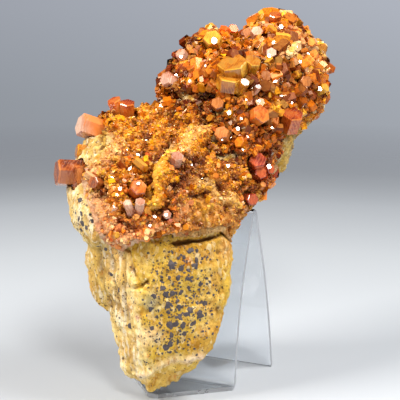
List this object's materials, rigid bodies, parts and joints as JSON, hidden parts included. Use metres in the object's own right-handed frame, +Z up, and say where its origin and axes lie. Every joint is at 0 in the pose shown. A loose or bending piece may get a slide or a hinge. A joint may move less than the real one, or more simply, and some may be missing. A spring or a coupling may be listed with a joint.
{
  "type": "vanadinite mineral specimen",
  "caption": "Vanadinite crystals and druse on a yellow iron-stained rock matrix, leaning upright in a small clear bent-sheet display easel.",
  "frame": {"origin": "middle of the whole object's footprint box, on the surface that the easel stands on", "axes": "+Z up; the easel faces -Y and its width runs along X; the stone leans back over the easel's fold towards +Y and +X"},
  "size_m": [0.0662, 0.0906, 0.1109],
  "materials": {
    "limonite_matrix": "rough yellow iron-stained rock with purple-grey manganese spots",
    "vanadinite_crust": "sparkling crust of small orange-brown and ochre crystals",
    "vanadinite_amber": "glossy resinous amber-orange crystal",
    "vanadinite_red": "glossy resinous orange-red crystal",
    "vanadinite_pale": "pale pink to beige crystal with bright faces",
    "vanadinite_brown": "glossy brown-red crystal",
    "clear_sheet": "clear polished plastic sheet"
  },
  "bodies": {
    "root": {"crystal_beige": "vanadinite_pale", "crystal_cheek_brown": "vanadinite_brown", "crystal_crest_orange": "vanadinite_amber", "crystal_crest_pink": "vanadinite_pale", "crystal_crest_rose": "vanadinite_pale", "crystal_grey": "vanadinite_brown", "crystal_head_ochre": "vanadinite_amber", "crystal_head_orange": "vanadinite_red", "crystal_hollow_brown": "vanadinite_brown", "crystal_ledge_red": "vanadinite_red", "crystal_left_large": "vanadinite_brown", "crystal_left_pale": "vanadinite_pale", "crystal_left_small": "vanadinite_amber", "crystal_nose_pink": "vanadinite_pale", "crystal_right_block": "vanadinite_red", "crystal_right_brown": "vanadinite_brown", "crystal_right_edge": "vanadinite_amber", "crystal_rim_white": "vanadinite_pale", "crystal_top_pink": "vanadinite_pale", "crystal_top_red": "vanadinite_red", "crystal_waist_orange": "vanadinite_brown", "crystal_white_short": "vanadinite_pale", "crystals_brow": "vanadinite_red", "crystals_head_pale": "vanadinite_pale", "crystals_ruby": "vanadinite_red", "display_easel": "clear_sheet", "druse": "vanadinite_crust", "matrix": "limonite_matrix", "plate_red": "vanadinite_red", "plates_amber": "vanadinite_amber"}
  },
  "joints": []
}
